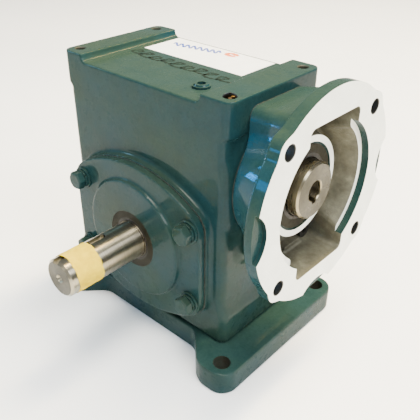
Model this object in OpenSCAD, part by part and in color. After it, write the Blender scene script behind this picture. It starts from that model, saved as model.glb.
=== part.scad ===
// Right-angle worm gearbox with a C-face motor adaptor, a foot base and one solid output shaft.
// Origin: centre of the foot hole pattern on the ground plane. +X along the worm towards the motor,
// -Y along the output shaft, +Z up. All sizes in mm.

/* [Housing] */
// Half length over the end pads, along X
pad_x = 89.3; // [85:0.1:95]
// Half length over the plain walls, along X
wall_x = 86.3; // [82:0.1:92]
// Half width of the casting, along Y
wall_y = 53.5; // [50:0.1:58]
// Height of the rail tops above the ground
rail_z = 235; // [225:0.5:245]
// Height of the recessed top surface
deck_z = 228.9; // [215:0.1:232]
// Height of the underside of the casting
floor_z = 24; // [23:0.5:30]
// Casting wall thickness on the X sides
cast_t = 9.3; // [6:0.1:12]
// Height of the worm axis above the ground
worm_z = 163.475; // [150:0.005:175]
// Distance between worm axis and output axis
centres = 66.675; // [66:0.005:67]
// X position of the tapped holes in the rails
rail_hole_x = 80.2; // [75:0.1:82]
// Y position of the tapped holes in the rails
rail_hole_y = 42.6; // [38:0.1:46]

/* [Foot base] */
// Thickness of the foot plate
foot_t = 22; // [16:0.5:28]
// Half length over the feet, along X
foot_x = 114.3; // [105:0.1:120]
// Half width over the feet, along Y
foot_y = 81; // [70:0.5:90]
// Foot hole spacing along X
foot_sx = 200.2; // [180:0.1:210]
// Foot hole spacing along Y
foot_sy = 135; // [110:0.1:140]
// Foot hole radius
foot_hole_r = 7.15; // [5:0.05:9]

/* [Motor adaptor] */
// X position of the machined motor face
face_x = 137.8; // [130:0.1:150]
// Motor pilot radius
pilot_r = 57.15; // [57:0.05:58]
// Depth of the motor pilot recess
pilot_d = 6; // [4:0.1:8]
// Motor bolt circle diameter
bolt_pcd = 149.225; // [149:0.005:150]
// Motor bolt hole radius
bolt_hole_r = 5.55; // [5:0.05:6]
// Flange rim radius
rim_r = 82.55; // [80:0.05:84]
// Thickness of the flange rim
rim_t = 10.5; // [8:0.1:14]
// Depth of the scallops in the flange face
scallop_d = 3.3; // [2:0.1:6]

/* [Worm set] */
// Axial module
mod = 2.5; // [2:0.5:3]
// Worm starts
starts = 2; // [1:1:4]
// Wheel teeth
teeth = 40; // [30:1:50]
// Backlash taken from each member
slack = 0.16; // [0.05:0.01:0.4]
// Quill radius
quill_r = 22.2; // [20:0.05:24]
// Quill bore radius
quill_bore_r = 7.94; // [7:0.005:11]

/* [Output side] */
// Output shaft radius outside the seal
shaft_r = 15.875; // [14:0.005:17]
// Distance from the wheel centre plane to the shaft end
shaft_end = 141.5; // [120:0.5:160]
// Keyway width in the output shaft
key_w = 6.35; // [5:0.05:8]
// Keyway depth below the top of the shaft
key_d = 3.2; // [2:0.1:4]
// Keyway length to the centre of its round end
key_l = 43.8; // [20:0.1:50]
// Angle of the keyway about the shaft, from straight up
key_turn = 9; // [0:1:90]
// Distance from the wheel centre plane to the cover flange face
cover_w = 65.6; // [63:0.1:70]
// Half width of the cover
cover_hw = 73.6; // [70:0.1:78]
// Height of the cover above and below the shaft
cover_h = 67.2; // [62:0.1:70]
// Cover bolt position along X
cb_x = 62.8; // [58:0.1:66]
// Cover bolt position along Z
cb_z = 34; // [28:0.1:40]

/* [Hidden] */
$fn = 64;
out_z = worm_z - centres;
paint = [0.27, 0.37, 0.36];
steel = [0.72, 0.71, 0.68];
dark = [0.2, 0.2, 0.21];
paper = [0.75, 0.65, 0.45];
bronze = [0.72, 0.5, 0.25];
iron = [0.36, 0.35, 0.32];
// worm set
wr = centres - mod * teeth / 2;
lead = PI * mod * starts;
wheel_r = mod * teeth / 2;
base_r = wheel_r * cos(20);
helix = 180 * tan(atan(lead / (2 * PI * wr))) / (PI * wheel_r);
worm_l = 52;
rim_half = 12;
pin_at = 38;
pin_r = 2.4;
// distances from the wheel centre plane along the output shaft
boss_w = 58.8;
gap_w = 59.2;
brg_w0 = 42;
brg_w1 = 60;
shaft_w = cover_w + 3.8;
// bores and seats
cup_r = 31;
cover_spigot_r = 56;
output_seal_r = 25.2;
input_brg_r = 37.5;
input_seal_r = 32.8;
adaptor_spigot_r = 42;
journal_r = shaft_r + 0.7;
seat_r = 17.5;
wheel_seat_r = 19.05;
collar_r = 23;
// positions along the worm axis
input_brg = [84, 100];
tail_brg = [-86.5, -69.5];
hub_x = 118;
quill_x = 127.6;
gasket_t = 0.5;
// fasteners and plugs
bolt_r = 4.76;
bolt_af = 14.29;
base_screw = [66, 34];
bell_screw = [22, 52.5];
end_bolt_at = 37;
plug_at = [42.6, -29.7];
plug_r = 6.6;
drain_z = 44;
level_z = out_z + 12;
wheel_key_w = 9.52;
ear_at = 75;
ear_r = 10.8;
// tapered rollers
tilt = 10;
flare = 1.35;
roller_mid = 24.4;
apex = 51.5 + roller_mid / tan(tilt);

// ---- helpers ----
// the four places at plus and minus x and y
module four(x, y) {
  for (a = [-1, 1], b = [-1, 1]) translate([a * x, b * y]) children();
}

// n places on a circle of radius r, the first at the given angle
module round_places(n, r, first) {
  for (k = [0:n - 1]) rotate(first + 360 * k / n) translate([r, 0]) children();
}

module rrect(sx, sy, r) {
  square([sx - 2 * r, sy], center = true);
  square([sx, sy - 2 * r], center = true);
  four(sx / 2 - r, sy / 2 - r) circle(r);
}

module slab(sx, sy, z0, z1, r) {
  translate([0, 0, z0]) linear_extrude(z1 - z0) rrect(sx, sy, r);
}

// extrude a Y-Z outline along the worm axis
module along_x(x0, x1) {
  translate([x0, 0, worm_z]) rotate([90, 0, 90]) linear_extrude(x1 - x0) children();
}

// turn a radius-distance outline about the worm axis
module turn_x() {
  translate([0, 0, worm_z]) rotate([90, 0, 90]) rotate_extrude($fn = 96) children();
}

// extrude an X-Z outline outwards along the output axis
module along_w(w0, w1) {
  translate([0, 0, out_z]) rotate([90, 0, 0]) translate([0, 0, w0])
    linear_extrude(w1 - w0) children();
}

// turn a radius-distance outline about the output axis
module turn_w() {
  translate([0, 0, out_z]) rotate([90, 0, 0]) rotate_extrude($fn = 96) children();
}

module ring2(r0, r1, a0, a1) {
  translate([r0, a0]) square([r1 - r0, a1 - a0]);
}

module cover_outline(g) {
  big = 120 + g;
  intersection() {
    translate([0, cover_h - 120]) circle(big, $fn = 160);
    translate([0, 120 - cover_h]) circle(big, $fn = 160);
    square([2 * (cover_hw + g), 200], center = true);
    circle(82.6 + g, $fn = 160);
  }
}

module cover_spots() {
  four(cb_x, cb_z) children();
}

module bell_screw_spots() {
  four(bell_screw[0], bell_screw[1]) children();
}

module bell_foot() {
  circle(48);
  rrect(64, 126, 8);
}

module hexagon(af) {
  circle(af / sqrt(3), $fn = 6);
}

// ---- castings ----
module recess_cut() {
  rotate([90, 0, 0]) linear_extrude(130, center = true)
    translate([-1.95, deck_z + 20]) rrect(128.5, 40, 5);
}

module housing_outer() {
  slab(2 * wall_x, 2 * wall_y, floor_z, rail_z - 2, 7);
  slab(2 * pad_x, 2 * wall_y, rail_z - 28, rail_z, 8);
  slab(2 * pad_x, 2 * wall_y, floor_z, floor_z + 30, 8);
  translate([0, 0, foot_t]) linear_extrude(4) four(64, 32) square([34, 26], center = true);
  along_w(-boss_w, boss_w) cover_outline(0.8);
  along_x(-pad_x, -wall_x + 4) circle(44);
  along_x(wall_x - 4, pad_x) bell_foot();
}

module housing_hollow() {
  difference() {
    slab(2 * (wall_x - cast_t), 2 * wall_y - 20, floor_z + 10, deck_z - 10.9, 8);
    along_x(-wall_x, -66) circle(38);
  }
}

module housing() {
  color(paint) difference() {
    housing_outer();
    recess_cut();
    housing_hollow();
    along_w(-70, 70) circle(cover_spigot_r, $fn = 128);
    along_x(-pad_x - 1, -60) circle(cup_r);
    along_x(70, pad_x + 1) circle(adaptor_spigot_r);
    along_w(46.5, boss_w + 1) cover_spots() circle(bolt_r);
    along_w(-boss_w - 1, -46.5) cover_spots() circle(bolt_r);
    along_x(79, pad_x + 1) bell_screw_spots() circle(4);
    along_x(-pad_x - 1, -77.5) round_places(4, end_bolt_at, 45) circle(3);
    translate([0, 0, rail_z - 13]) four(rail_hole_x, rail_hole_y) cylinder(h = 20, r = 4);
    translate([0, 0, foot_t - 1]) four(base_screw[0], base_screw[1]) cylinder(h = 11, r = 5);
    translate([plug_at[0], plug_at[1], deck_z - 20]) cylinder(h = 30, r = plug_r);
    for (z = [drain_z, level_z]) translate([-pad_x - 1, 0, z]) rotate([0, 90, 0]) cylinder(h = 30, r = plug_r);
  }
}

// plan of the foot plate: a middle and two end bars with round corners
module foot_plan() {
  bar = 28.5;
  mid_y = 55.4;
  corner = 15;
  blend = 12;
  square([2 * (foot_x - 20), 2 * mid_y], center = true);
  for (a = [-1, 1]) translate([a * (foot_x - bar / 2), 0]) square([bar, 2 * (foot_y - corner)], center = true);
  four(foot_x - corner, foot_y - corner) circle(corner);
  four(foot_x - bar + 6, foot_y - 6) circle(6);
  four(foot_x - 18.75, foot_y - 7.5) square([7.5, 15], center = true);
  four(foot_x - 25.5, foot_y - 10.5) square([6, 9], center = true);
  for (a = [-1, 1], b = [-1, 1]) difference() {
    translate([a * (foot_x - bar - 6), b * (mid_y + 6)]) square([12.2, 12.2], center = true);
    translate([a * (foot_x - bar - blend), b * (mid_y + blend)]) circle(blend);
  }
}

module foot_base() {
  color(paint) difference() {
    linear_extrude(foot_t) foot_plan();
    translate([0, 0, -1]) four(foot_sx / 2, foot_sy / 2) cylinder(h = foot_t + 2, r = foot_hole_r);
    translate([0, 0, -1]) four(base_screw[0], base_screw[1]) {
      cylinder(h = foot_t + 2, r = 5);
      cylinder(h = 11.5, r = 8.4);
    }
  }
}

module base_screws() {
  color(dark) four(base_screw[0], base_screw[1]) difference() {
    union() {
      translate([0, 0, 1]) cylinder(h = 9.5, r = 7.9);
      translate([0, 0, 10]) cylinder(h = 21, r = 5);
    }
    translate([0, 0, 0.5]) linear_extrude(6) hexagon(8);
  }
}

// ---- output covers ----
module cover_body() {
  along_w(gap_w, cover_w) cover_outline(0);
  along_w(cover_w - 1, cover_w + 3.4) circle(52.5, $fn = 128);
  difference() {
    along_w(50, gap_w + 0.5) circle(cover_spigot_r - 0.05, $fn = 128);
    along_w(49, gap_w) circle(48, $fn = 128);
  }
  along_w(brg_w0, gap_w + 0.5) circle(39);
}

module front_cover() {
  color(paint) difference() {
    cover_body();
    along_w(brg_w0 - 1, brg_w1) circle(cup_r);
    along_w(brg_w1 - 1, 75) circle(22);
    along_w(brg_w1 + 1.2, 75) circle(output_seal_r);
    along_w(gap_w - 1, cover_w + 1) cover_spots() circle(5);
  }
}

module rear_cover() {
  color(paint) mirror([0, 1, 0]) difference() {
    cover_body();
    along_w(brg_w0 - 1, brg_w1) circle(cup_r);
    along_w(brg_w1 - 1, brg_w1 + 2) circle(22);
    along_w(gap_w - 1, cover_w + 1) cover_spots() circle(5);
  }
}

module cover_gasket() {
  along_w(boss_w, gap_w) difference() {
    cover_outline(0);
    circle(cover_spigot_r, $fn = 128);
    cover_spots() circle(5);
  }
}

module front_gasket() {
  color(paper) cover_gasket();
}

module rear_gasket() {
  color(paper) mirror([0, 1, 0]) cover_gasket();
}

module cover_bolt_set() {
  difference() {
    union() {
      along_w(48, cover_w + 5) cover_spots() circle(bolt_r);
      along_w(cover_w + 4.2, cover_w + 10.6) cover_spots() rotate(11) hexagon(bolt_af);
    }
    difference() {
      along_w(cover_w + 4, cover_w + 12) cover_spots() circle(12);
      bolt_crowns();
    }
  }
}

// crowned envelope that rounds the hexagon corners
module bolt_crowns() {
  translate([0, 0, out_z]) rotate([90, 0, 0]) cover_spots() {
    cylinder(h = cover_w + 9, r = 13);
    translate([0, 0, cover_w + 9]) cylinder(h = 3.1, r1 = 8.9, r2 = 3.6);
  }
}

module front_cover_bolts() {
  color(paint) cover_bolt_set();
}

module rear_cover_bolts() {
  color(paint) mirror([0, 1, 0]) cover_bolt_set();
}

module front_lock_washers() {
  color(paint) difference() {
    along_w(cover_w + 1.8, cover_w + 4.2) cover_spots() difference() {
      circle(8);
      circle(4.8);
    }
    for (a = [-1, 1], b = [-1, 1]) translate([a * cb_x + 6.4, -cover_w - 3, out_z + b * cb_z])
      rotate([0, 35, 0]) cube([5, 6, 0.9], center = true);
  }
}

module flat_washer_set(t) {
  along_w(cover_w, cover_w + t) cover_spots() difference() {
    circle(9.6);
    circle(4.8);
  }
}

module front_washers() {
  color(paint) flat_washer_set(1.8);
}

module rear_washers() {
  color(paint) mirror([0, 1, 0]) flat_washer_set(4.2);
}

// ---- motor adaptor ----
module rim_outline() {
  circle(rim_r, $fn = 160);
  round_places(4, ear_at, 45) circle(ear_r);
}

// shallow scallops in the flange face at the sides and at the bottom
module face_scallops() {
  along_x(face_x - scallop_d, face_x + 1) {
    for (s = [-1, 1]) translate([s * 95.4, 0]) circle(24);
    translate([0, -100.2]) circle(26.5);
  }
}

// four-sided body that widens from the housing to the rim
module bell_box() {
  x0 = pad_x + gasket_t;
  x1 = face_x - rim_t + 1;
  intersection() {
    translate([0, 0, worm_z - 80]) linear_extrude(160) polygon([[x0, -33], [x1, -42], [x1, 42], [x0, 33]]);
    translate([0, 60, worm_z]) rotate([90, 0, 0]) linear_extrude(120)
      polygon([[x0, -63], [x1, -69], [x1, 69], [x0, 63]]);
  }
}

module adaptor_outer() {
  along_x(face_x - rim_t, face_x) rim_outline();
  bell_box();
  turn_x() polygon([
    [0, pad_x + gasket_t], [48, pad_x + gasket_t], [59, 118], [61.5, 122],
    [66, 125.5], [69.5, 127.4], [69.5, 129], [0, 129],
  ]);
  along_x(79, 92) circle(adaptor_spigot_r);
}

module adaptor_hollow() {
  difference() {
    union() {
      along_x(101, face_x + 1) rrect(61.8, 120.6, 5);
      turn_x() polygon([[0, 104], [46, 104], [52.5, face_x - pilot_d], [0, face_x - pilot_d]]);
      along_x(face_x - pilot_d, face_x + 1) circle(pilot_r, $fn = 128);
    }
    turn_x() polygon([[0, 79], [45, 79], [43, 104], [39.6, hub_x], [0, hub_x]]);
    translate([100, -6, worm_z - 61]) cube([10, 22, 5]);
  }
}

module motor_adaptor() {
  color(paint) difference() {
    adaptor_outer();
    adaptor_hollow();
    face_scallops();
    turn_x() ring2(0, input_brg_r, 78, input_brg[1]);
    turn_x() ring2(0, 39.05, 82.2, input_brg[0]);
    turn_x() ring2(0, 29, input_brg[1] - 1, 110);
    turn_x() ring2(0, input_seal_r, 109, hub_x + 1);
    along_x(face_x - 20, face_x + 1) round_places(4, bolt_pcd / 2, 45) circle(bolt_hole_r);
    along_x(80, 102) bell_screw_spots() circle(4.4);
  }
}

module adaptor_gasket() {
  color(paper) along_x(pad_x, pad_x + gasket_t) difference() {
    bell_foot();
    circle(adaptor_spigot_r + 0.1);
    bell_screw_spots() circle(4.4);
  }
}

module adaptor_screws() {
  color(dark) difference() {
    union() {
      along_x(80, 102) bell_screw_spots() circle(4);
      along_x(101, 109) bell_screw_spots() circle(6.5);
    }
    along_x(104.5, 110) bell_screw_spots() hexagon(6);
  }
}

// ---- tail end cover ----
module end_cover() {
  color(paint) difference() {
    union() {
      along_x(-pad_x - 7, -pad_x - gasket_t) circle(43.5);
      along_x(-pad_x - 10, -pad_x - 6) circle(24);
      along_x(-pad_x - 1, -pad_x + 2.8) circle(cup_r - 0.05);
    }
    along_x(-pad_x - gasket_t, -pad_x + 4) circle(26);
    along_x(-pad_x - 8, -pad_x) round_places(4, end_bolt_at, 45) circle(3.3);
  }
}

module end_gasket() {
  color(paper) along_x(-pad_x - gasket_t, -pad_x) difference() {
    circle(43.5);
    circle(cup_r);
    round_places(4, end_bolt_at, 45) circle(3.3);
  }
}

module end_cover_bolts() {
  color(paint) {
    along_x(-pad_x - 7, -79) round_places(4, end_bolt_at, 45) circle(3);
    along_x(-pad_x - 11, -pad_x - 7) round_places(4, end_bolt_at, 45) hexagon(10);
  }
}

// ---- input bearing, seal and retaining ring ----
// a ball bearing is [x span, pitch radius, ball radius, number of balls]
input_set = [input_brg, 30, 4.4, 14];
tail_set = [tail_brg, 21.75, 5.6, 8];
function mid(set) = (set[0][0] + set[0][1]) / 2;

module race(set, r_in, r_out) {
  turn_x() difference() {
    ring2(r_in, r_out, set[0][0], set[0][1]);
    translate([set[1], mid(set)]) circle(set[2] + 0.04, $fn = 48);
  }
}

// the ball places, each with +Z pointing outwards
module ball_places(set) {
  n = set[3];
  for (k = [0:n - 1]) translate([mid(set), 0, worm_z]) rotate([360 * k / n - 90, 0, 0]) children();
}

module ball_ring(set) {
  ball_places(set) translate([0, 0, set[1]]) sphere(set[2], $fn = 32);
}

module ball_cage(set) {
  side = set[2] + 0.9;
  difference() {
    turn_x() ring2(set[1] - 0.9, set[1] + 0.9, mid(set) - side, mid(set) + side);
    ball_places(set) translate([0, 0, set[1] - 3]) cylinder(h = 6, r = set[2] + 0.06);
  }
}

module input_outer_race() {
  color(steel) race(input_set, 32.6, input_brg_r);
}

module input_inner_race() {
  color(steel) race(input_set, 22.5, 27.4);
}

module input_balls() {
  color(steel) ball_ring(input_set);
}

module input_cage() {
  color(bronze) ball_cage(input_set);
}

module input_retaining_ring() {
  color(dark) difference() {
    turn_x() ring2(33.5, 39, 82.25, 83.95);
    translate([83, 0, worm_z - 36]) cube([4, 8, 8], center = true);
  }
}

module input_seal_case() {
  color(dark) turn_x() {
    ring2(30.6, input_seal_r, 110.1, 117.6);
    ring2(26, input_seal_r, 116, 117.6);
  }
}

module input_seal_lip() {
  touch = quill_r + 0.05;
  color(dark) turn_x() polygon([
    [touch, 113], [23.2, 112], [25.4, 114.5], [26, 115],
    [26, 117.4], [23, 117.4], [22.9, 114.4], [touch, 113.6],
  ]);
}

// ---- tail bearing ----
module tail_outer_race() {
  color(steel) race(tail_set, 24.6, cup_r);
}

module tail_inner_race() {
  color(steel) race(tail_set, 12.5, 18.9);
}

module tail_balls() {
  color(steel) ball_ring(tail_set);
}

module tail_cage() {
  color(bronze) ball_cage(tail_set);
}

module tail_snap_ring() {
  color(dark) difference() {
    turn_x() ring2(11.6, 15, -88, -86.6);
    translate([-87, 0, worm_z + 13]) cube([4, 5, 8], center = true);
  }
}

// ---- worm ----
// one thread flank sits at this axial half width from its centre line
function half_w(r) = (PI * mod / 2 - slack) / 2 - (r - wr) * tan(20);
function turn_of(r) = 360 * half_w(r) / lead;
function thread_r(k) = wr - 1.2 * mod + k * 2.2 * mod / 4;

function polar(r, a) = [r * cos(a), r * sin(a)];
// one start: up one flank, down the other and along the root
function start_points(mid_a) = let (r0 = thread_r(0), a0 = turn_of(r0), w = 360 / starts - 2 * a0) concat(
  [for (k = [0:4]) polar(thread_r(k), mid_a - turn_of(thread_r(k)))],
  [for (k = [4:-1:0]) polar(thread_r(k), mid_a + turn_of(thread_r(k)))],
  [for (k = [1:3]) polar(r0, mid_a + a0 + w * k / 4)]
);

module worm_section() {
  polygon([for (s = [0:starts - 1]) each start_points(360 * s / starts)]);
}

module worm_thread() {
  spin = 360 * worm_l / lead;
  translate([0, 0, worm_z]) rotate([0, 90, 0]) rotate(-spin / 2)
    linear_extrude(worm_l, center = true, twist = -spin, slices = 110, $fn = 12) worm_section();
}

module worm_core() {
  turn_x() polygon([
    [0, -88.9], [11.5, -88.9], [12.5, -88], [12.5, tail_brg[1]], [16, tail_brg[1]], [16, -60],
    [12.9, -30], [12.9, 30], [17, 56], [24, 60], [25.5, 62], [25.5, input_brg[0]], [22.5, input_brg[0]],
    [22.5, 100.3], [quill_r, 100.6], [quill_r, quill_x - 1.4], [quill_r - 1.4, quill_x], [0, quill_x],
  ]);
}

module worm_shaft() {
  color(steel) difference() {
    union() {
      worm_core();
      worm_thread();
    }
    along_x(70, 130) circle(quill_bore_r);
    along_x(80, 130) translate([-2.38, -10.05]) square([4.76, 10]);
    turn_x() polygon([
      [0, quill_x - 0.8], [quill_bore_r, quill_x - 0.8], [quill_bore_r + 0.8, quill_x],
      [quill_bore_r + 0.8, 128], [0, 128],
    ]);
    turn_x() ring2(11.6, 14, -88, -86.6);
  }
}

// ---- worm wheel ----
function alpha(r) = acos(min(1, base_r / r));
function inv(a) = tan(a) - a * PI / 180;
function tooth_half(r) = (PI * mod / 2 - slack) / (2 * wheel_r) + inv(20) - inv(alpha(max(r, base_r)));
function gap_half(r) = 180 / teeth - 180 / PI * tooth_half(r);
function gap_r(k) = wheel_r - 1.25 * mod + k * 1.4;

module gap_outline() {
  polygon(concat(
    [for (k = [0:6]) polar(gap_r(k), 90 - gap_half(gap_r(k)))],
    [for (k = [6:-1:0]) polar(gap_r(k), 90 + gap_half(gap_r(k)))]
  ));
}

module pin_places() {
  round_places(6, pin_at, 15) circle(pin_r, $fn = 32);
}

module wheel_rim() {
  h = 26;
  color(bronze) difference() {
    turn_w() difference() {
      polygon([
        [pin_at, -rim_half], [52.6, -rim_half], [53.6, 1 - rim_half],
        [53.6, rim_half - 1], [52.6, rim_half], [pin_at, rim_half],
      ]);
      translate([centres, 0]) circle(wr - mod + 0.2, $fn = 96);
    }
    for (k = [0:teeth - 1]) translate([0, 0, out_z]) rotate([90, 0, 0])
      rotate(360 * k / teeth - helix * h / 2)
        linear_extrude(h, center = true, twist = -helix * h, slices = 4, $fn = 8) gap_outline();
    along_w(-rim_half - 1, rim_half + 1) pin_places();
  }
}

module wheel_hub() {
  color(iron) difference() {
    turn_w() polygon([
      [wheel_seat_r + 0.04, -19.95], [27, -19.95], [28, -19], [28, -9], [34, -8], [34, -rim_half],
      [pin_at, -rim_half], [pin_at, rim_half], [34, rim_half], [34, 8], [28, 9], [28, 19], [27, 19.95],
      [wheel_seat_r + 0.04, 19.95],
    ]);
    along_w(-rim_half - 1, rim_half + 1) pin_places();
    along_w(-21, 21) translate([-wheel_key_w / 2, 14]) square([wheel_key_w, 8.4]);
  }
}

module rim_pins() {
  color(dark) along_w(-11.5, 11.5) pin_places();
}

module wheel_key() {
  color(steel) along_w(-17, 17) translate([-wheel_key_w / 2, 14.3]) square([wheel_key_w, 7.9]);
}

// ---- output shaft and its bearings ----
// keyway with a round inner end, open at the shaft end, turned a little off the vertical
module shaft_keyway() {
  translate([0, 0, out_z]) rotate([90, 0, 0]) rotate(key_turn)
    translate([0, shaft_r - key_d, 0]) rotate([-90, 0, 0]) linear_extrude(8) {
      translate([0, key_l - shaft_end]) circle(key_w / 2);
      translate([-key_w / 2, -shaft_end - 1]) square([key_w, key_l + 1]);
    }
}

// half section of a centre drilling at w, going in against the given direction
module centre_drill(w, out) {
  polygon([
    [0, w - 9 * out], [1.2, w - 8 * out], [1.2, w - 4 * out], [3.6, w], [3.6, w + out], [0, w + out],
  ]);
}

module output_shaft() {
  color(steel) difference() {
    translate([0, 0, out_z]) rotate([90, 0, 0]) rotate(30) rotate_extrude($fn = 96) polygon([
      [0, -60], [seat_r - 1, -60], [seat_r, -59], [seat_r, -20], [wheel_seat_r, -20], [wheel_seat_r, 20],
      [collar_r, 20], [collar_r, brg_w0], [seat_r, brg_w0], [seat_r, 60.3], [journal_r, 60.8],
      [journal_r, shaft_w], [shaft_r, shaft_w], [shaft_r, shaft_end - 1.8], [shaft_r - 1.8, shaft_end],
      [0, shaft_end],
    ]);
    along_w(-17, 17) translate([-wheel_key_w / 2, 14.3]) square([wheel_key_w, 8]);
    shaft_keyway();
    turn_w() centre_drill(shaft_end, 1);
    turn_w() centre_drill(-60, -1);
  }
}

module shaft_spacer() {
  color(steel) turn_w() ring2(seat_r + 0.05, collar_r, -brg_w0, -20.05);
}

// radius at w of a cone about the shaft whose tip is the bearing apex
function cone_r(w, a) = (apex - w) * tan(a);

module cup_part() {
  turn_w() polygon([
    [cup_r, 43], [cup_r, brg_w1],
    [cone_r(brg_w1, tilt + flare) + 0.05, brg_w1], [cone_r(43, tilt + flare) + 0.05, 43],
  ]);
}

module cone_part() {
  w0 = brg_w0 + 0.02;
  bore = seat_r + 0.05;
  inner = tilt - flare;
  turn_w() polygon([
    [bore, w0], [24.6, w0], [cone_r(44.8, inner) + 1.8, 44.8], [cone_r(44.8, inner) - 0.05, 44.8],
    [cone_r(57.8, inner) - 0.05, 57.8], [cone_r(57.8, inner) + 0.7, 57.9], [20.4, 59.6], [bore, 59.6],
  ]);
}

// one tapered roller, its axis leaning towards the apex
module roller(g) {
  d0 = roller_mid / sin(tilt) - 5.9 - g;
  d1 = roller_mid / sin(tilt) + 5.9 + g;
  translate([0, 0, apex]) rotate([0, tilt, 0]) rotate([180, 0, 0]) translate([0, 0, d0])
    cylinder(h = d1 - d0, r1 = d0 * tan(flare) + g, r2 = d1 * tan(flare) + g, $fn = 32);
}

module roller_ring(g) {
  translate([0, 0, out_z]) rotate([90, 0, 0]) for (k = [0:17]) rotate(180 + 20 * k) roller(g);
}

module roller_cage_part() {
  difference() {
    turn_w() polygon([
      [cone_r(44, tilt) - 0.6, 44], [cone_r(44, tilt) + 0.6, 44],
      [cone_r(59.3, tilt) + 0.6, 59.3], [cone_r(59.3, tilt) - 0.6, 59.3],
    ]);
    roller_ring(0.12);
    cone_clear();
  }
}

// space kept free round the cone rib
module cone_clear() {
  turn_w() polygon([[17, 40], [24.9, 40], [24.9, 44.9], [17, 44.9]]);
}

module front_cup() {
  color(steel) cup_part();
}

module front_cone() {
  color(steel) cone_part();
}

module front_rollers() {
  color(steel) roller_ring(0);
}

module front_roller_cage() {
  color(bronze) roller_cage_part();
}

module rear_cup() {
  color(steel) mirror([0, 1, 0]) cup_part();
}

module rear_cone() {
  color(steel) mirror([0, 1, 0]) cone_part();
}

module rear_rollers() {
  color(steel) mirror([0, 1, 0]) roller_ring(0);
}

module rear_roller_cage() {
  color(bronze) mirror([0, 1, 0]) roller_cage_part();
}

module output_seal_case() {
  color(dark) turn_w() {
    ring2(23.4, output_seal_r, 61.3, 68.6);
    ring2(19.4, output_seal_r, 67.2, 68.6);
  }
}

module output_seal_lip() {
  touch = journal_r + 0.05;
  color(dark) turn_w() polygon([
    [touch, 64], [16.8, 63], [19, 65.6], [19.4, 66],
    [19.4, 68.4], [16.9, 68.4], [16.7, 65.4], [touch, 64.6],
  ]);
}

// ---- small parts ----
module pipe_plug(l) {
  difference() {
    union() {
      translate([0, 0, -l]) cylinder(h = l, r = plug_r);
      cylinder(h = 1.6, r = 6.9);
      translate([0, 0, 1.5]) cylinder(h = 1.4, r1 = 6.1, r2 = 5.3);
    }
    translate([0, 0, -4]) linear_extrude(10) hexagon(6.35);
  }
}

module fill_plug() {
  color(paint) translate([plug_at[0], plug_at[1], deck_z]) pipe_plug(9);
}

module drain_plug() {
  color(dark) translate([-pad_x, 0, drain_z]) rotate([0, -90, 0]) pipe_plug(9);
}

module level_plug() {
  color(dark) translate([-wall_x, 0, level_z]) rotate([0, -90, 0]) pipe_plug(7);
}

module vent_screw() {
  color(bronze) translate([rail_hole_x, -rail_hole_y, rail_z]) difference() {
    union() {
      translate([0, 0, -10]) cylinder(h = 10, r = 4);
      intersection() {
        translate([0, 0, -5.2]) sphere(7.4, $fn = 64);
        cylinder(h = 3, r = 5.2);
      }
    }
    translate([0, 0, 1.6]) cylinder(h = 3, r = 1);
  }
}

module rating_label() {
  color([0.93, 0.93, 0.9]) translate([-58.8, 7.9, deck_z]) cube([107.7, 42.4, 0.25]);
}

housing();
foot_base();
base_screws();
front_cover();
rear_cover();
front_gasket();
rear_gasket();
front_cover_bolts();
front_lock_washers();
front_washers();
rear_cover_bolts();
rear_washers();
motor_adaptor();
adaptor_gasket();
adaptor_screws();
end_cover();
end_gasket();
end_cover_bolts();
input_seal_case();
input_seal_lip();
input_retaining_ring();
input_outer_race();
input_inner_race();
input_balls();
input_cage();
tail_outer_race();
tail_inner_race();
tail_balls();
tail_cage();
tail_snap_ring();
worm_shaft();
wheel_rim();
wheel_hub();
rim_pins();
wheel_key();
output_shaft();
shaft_spacer();
front_cup();
front_cone();
front_rollers();
front_roller_cage();
rear_cup();
rear_cone();
rear_rollers();
rear_roller_cage();
output_seal_case();
output_seal_lip();
fill_plug();
vent_screw();
drain_plug();
level_plug();
rating_label();
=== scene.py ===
"""Looks for the worm gearbox: rounded castings, machined faces, fasteners, shafts, label, floor and light.

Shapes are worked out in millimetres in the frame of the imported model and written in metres.
"""

import math

import bpy
import numpy as np
from mathutils import Matrix, Vector


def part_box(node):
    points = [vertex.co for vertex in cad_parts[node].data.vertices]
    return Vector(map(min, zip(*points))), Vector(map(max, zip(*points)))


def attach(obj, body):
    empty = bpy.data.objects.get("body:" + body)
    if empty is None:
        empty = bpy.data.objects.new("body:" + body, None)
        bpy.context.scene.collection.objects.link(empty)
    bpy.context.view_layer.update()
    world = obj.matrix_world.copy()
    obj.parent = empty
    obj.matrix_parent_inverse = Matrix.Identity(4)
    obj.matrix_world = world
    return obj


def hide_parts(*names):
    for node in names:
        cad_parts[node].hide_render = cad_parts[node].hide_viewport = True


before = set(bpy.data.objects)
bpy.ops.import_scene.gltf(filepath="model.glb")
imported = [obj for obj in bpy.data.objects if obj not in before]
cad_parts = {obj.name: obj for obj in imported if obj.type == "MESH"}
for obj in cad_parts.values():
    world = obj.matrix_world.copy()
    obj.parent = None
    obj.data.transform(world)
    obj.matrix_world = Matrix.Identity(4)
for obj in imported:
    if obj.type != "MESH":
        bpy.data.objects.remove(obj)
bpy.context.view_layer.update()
MM = 0.001


def corners(node):
    """Lowest and highest corner of a CAD node, in millimetres."""
    low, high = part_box(node)
    return np.array(low) / MM, np.array(high) / MM


# ---- driving sizes, some taken from the CAD nodes and the rest given ----
case_low, case_high = corners("housing")
foot_low, foot_high = corners("foot_base")
cover_low, cover_high = corners("front_cover")
bell_low, bell_high = corners("motor_adaptor")
tail_low, tail_high = corners("end_cover")
label_low, label_high = corners("rating_label")
seal_low, seal_high = corners("input_seal_case")

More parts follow.
